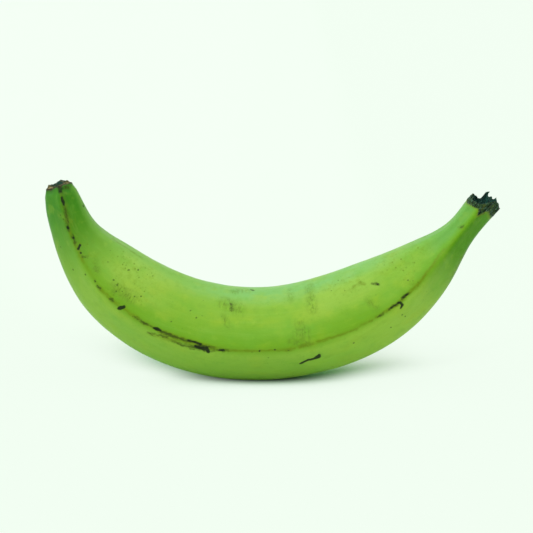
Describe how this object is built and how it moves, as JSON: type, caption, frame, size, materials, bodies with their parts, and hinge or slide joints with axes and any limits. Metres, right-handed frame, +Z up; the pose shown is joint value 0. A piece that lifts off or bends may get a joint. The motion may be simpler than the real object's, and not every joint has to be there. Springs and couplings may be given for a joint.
{
  "type": "green plantain",
  "caption": "Single unpeeled green plantain, curved and blunt-ridged, with a torn stem end and a scarred blossom end, resting on its belly.",
  "frame": {"origin": "middle of the bounding box in X and Y, on the surface that the fruit rests on", "axes": "+X along the fruit towards the torn stem end, -X towards the blossom end, +Z up, with the fruit curved in the XZ plane and both ends raised, and Y across it"},
  "size_m": [0.2246, 0.044, 0.1014],
  "materials": {
    "peel": "waxy satin green skin"
  },
  "bodies": {
    "root": {"plantain": "peel"}
  },
  "joints": []
}
